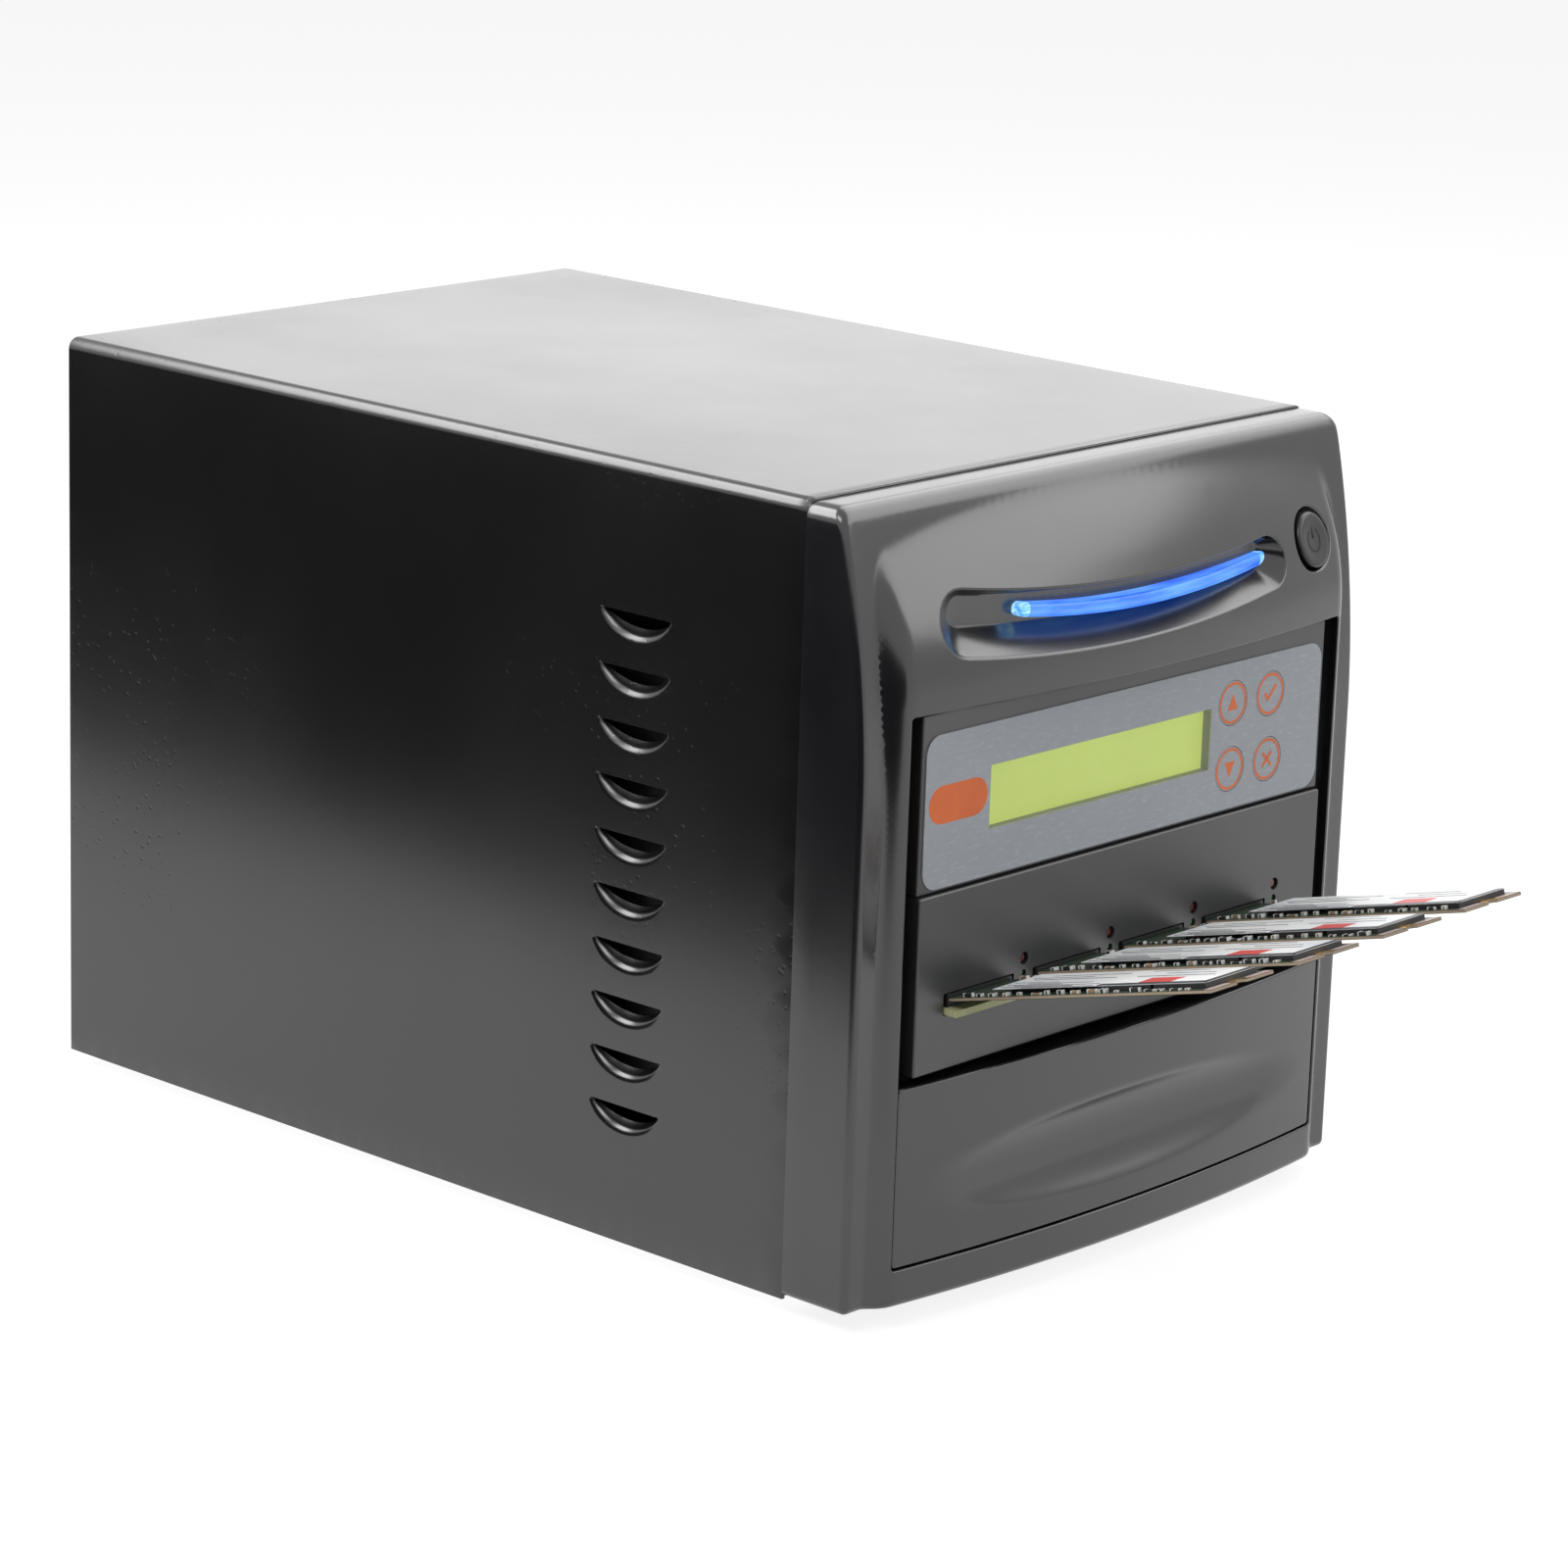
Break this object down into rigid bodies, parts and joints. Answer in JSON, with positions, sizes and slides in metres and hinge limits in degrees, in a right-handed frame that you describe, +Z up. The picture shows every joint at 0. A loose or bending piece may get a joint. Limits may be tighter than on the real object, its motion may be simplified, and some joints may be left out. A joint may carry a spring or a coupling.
{
  "type": "ssd duplicator",
  "caption": "Desktop duplicator for solid state drives: a steel case with a bowed plastic front, a display with keys, and drives standing out of its slots.",
  "frame": {"origin": "centre of the bottom of the bounding box, drives and fan guard included, on the desk", "axes": "+X to the right seen from the front, +Y to the back, +Z up"},
  "size_m": [0.1784, 0.3486, 0.189],
  "materials": {
    "cover_paint": "satin black powder coat",
    "zinc_steel": "zinc-plated sheet",
    "bezel_plastic": "finely grained black moulding",
    "plate_plastic": "finely grained black moulding",
    "black_plastic": "plain black",
    "button_plastic": "smooth black",
    "key_grey": "printed film over a round pad",
    "film_grey": "printed grey film",
    "clear_film": "clear film",
    "display_glow": "yellow-green backlit display",
    "blue_glow": "clear bar lit blue",
    "board_green": "green circuit board",
    "board_edge": "pale circuit board",
    "drive_green": "green circuit board",
    "chip_black": "moulded chips",
    "label_silver": "silver label",
    "red_lens": "red lamp",
    "green_lens": "green lamp",
    "rubber_black": "plain",
    "bright_steel": "nickel-plated",
    "black_screws": "blackened steel",
    "brass_posts": "plain",
    "bright_wire": "plated wire"
  },
  "bodies": {
    "case": {"top_cover": "cover_paint", "chassis_tray": "zinc_steel", "front_frame": "zinc_steel", "rear_panel": "cover_paint", "drive_cage_left": "zinc_steel", "drive_cage_right": "zinc_steel", "cage_top": "zinc_steel", "controller_tray": "zinc_steel", "slot_tray": "zinc_steel", "supply_case": "zinc_steel", "front_bezel": "bezel_plastic", "blank_cover": "bezel_plastic", "light_pipe": "blue_glow", "lamp_board": "board_green", "power_switch": "black_plastic", "button_spring": "bright_steel", "lcd_plate": "plate_plastic", "slot_panel": "plate_plastic", "lcd_overlay": "film_grey", "lcd_window": "clear_film", "lcd_frame": "black_plastic", "lcd_glass": "display_glow", "lcd_board": "board_green", "keypad_board": "board_green", "controller_board": "board_green", "board_standoffs": "brass_posts", "adapter_boards": "board_edge", "drive_sockets": "black_plastic", "lamp_holders": "black_plastic", "red_lamps": "red_lens", "green_lamps": "green_lens", "feet": "rubber_black", "foot_screws": "bright_steel", "bay_screws": "bright_steel", "rear_screws": "black_screws", "supply_board": "board_green", "mains_inlet": "black_plastic", "inlet_pins": "brass_posts", "rocker_housing": "black_plastic", "fan_frame": "black_plastic", "fan_guard": "bright_wire"},
    "power_button": {"power_button": "button_plastic"},
    "key_up": {"key_up": "key_grey"},
    "key_enter": {"key_enter": "key_grey"},
    "key_down": {"key_down": "key_grey"},
    "key_escape": {"key_escape": "key_grey"},
    "fan_rotor": {"fan_rotor": "black_plastic"},
    "power_rocker": {"power_rocker": "button_plastic"},
    "drive_1": {"drive_1_board": "drive_green", "drive_1_chips": "chip_black", "drive_1_label": "label_silver"},
    "drive_2": {"drive_2_board": "drive_green", "drive_2_chips": "chip_black", "drive_2_label": "label_silver"},
    "drive_3": {"drive_3_board": "drive_green", "drive_3_chips": "chip_black", "drive_3_label": "label_silver"},
    "drive_4": {"drive_4_board": "drive_green", "drive_4_chips": "chip_black", "drive_4_label": "label_silver"}
  },
  "joints": [
    {"name": "button_press", "type": "slide", "parent": "case", "child": "power_button", "axis": [0, 1, 0], "range_m": [0, 0.0025], "stiffness_N_per_m": 250, "springref_m": -0.002, "deforming": ["button_spring"]},
    {"name": "key_up_press", "type": "slide", "parent": "case", "child": "key_up", "axis": [0, 1, 0], "range_m": [0, 0.0004], "stiffness_N_per_m": 1500, "springref_m": -0.0003},
    {"name": "key_enter_press", "type": "slide", "parent": "case", "child": "key_enter", "axis": [0, 1, 0], "range_m": [0, 0.0004], "stiffness_N_per_m": 1500, "springref_m": -0.0003},
    {"name": "key_down_press", "type": "slide", "parent": "case", "child": "key_down", "axis": [0, 1, 0], "range_m": [0, 0.0004], "stiffness_N_per_m": 1500, "springref_m": -0.0003},
    {"name": "key_escape_press", "type": "slide", "parent": "case", "child": "key_escape", "axis": [0, 1, 0], "range_m": [0, 0.0004], "stiffness_N_per_m": 1500, "springref_m": -0.0003},
    {"name": "drive_1_pull", "type": "slide", "parent": "case", "child": "drive_1", "axis": [0, -0.9681, 0.2504], "range_m": [0, 0.012]},
    {"name": "drive_2_pull", "type": "slide", "parent": "case", "child": "drive_2", "axis": [0, -0.9681, 0.2504], "range_m": [0, 0.012]},
    {"name": "drive_3_pull", "type": "slide", "parent": "case", "child": "drive_3", "axis": [0, -0.9681, 0.2504], "range_m": [0, 0.012]},
    {"name": "drive_4_pull", "type": "slide", "parent": "case", "child": "drive_4", "axis": [0, -0.9681, 0.2504], "range_m": [0, 0.012]},
    {"name": "fan_spin", "type": "hinge", "parent": "case", "child": "fan_rotor", "pos_m": [0, 0.15778, 0.076], "axis": [0, 1, 0], "continuous": true},
    {"name": "rocker_tilt", "type": "hinge", "parent": "case", "child": "power_rocker", "pos_m": [-0.0378, 0.16778, 0.16425], "axis": [1, 0, 0], "range_deg": [0, 20]}
  ]
}
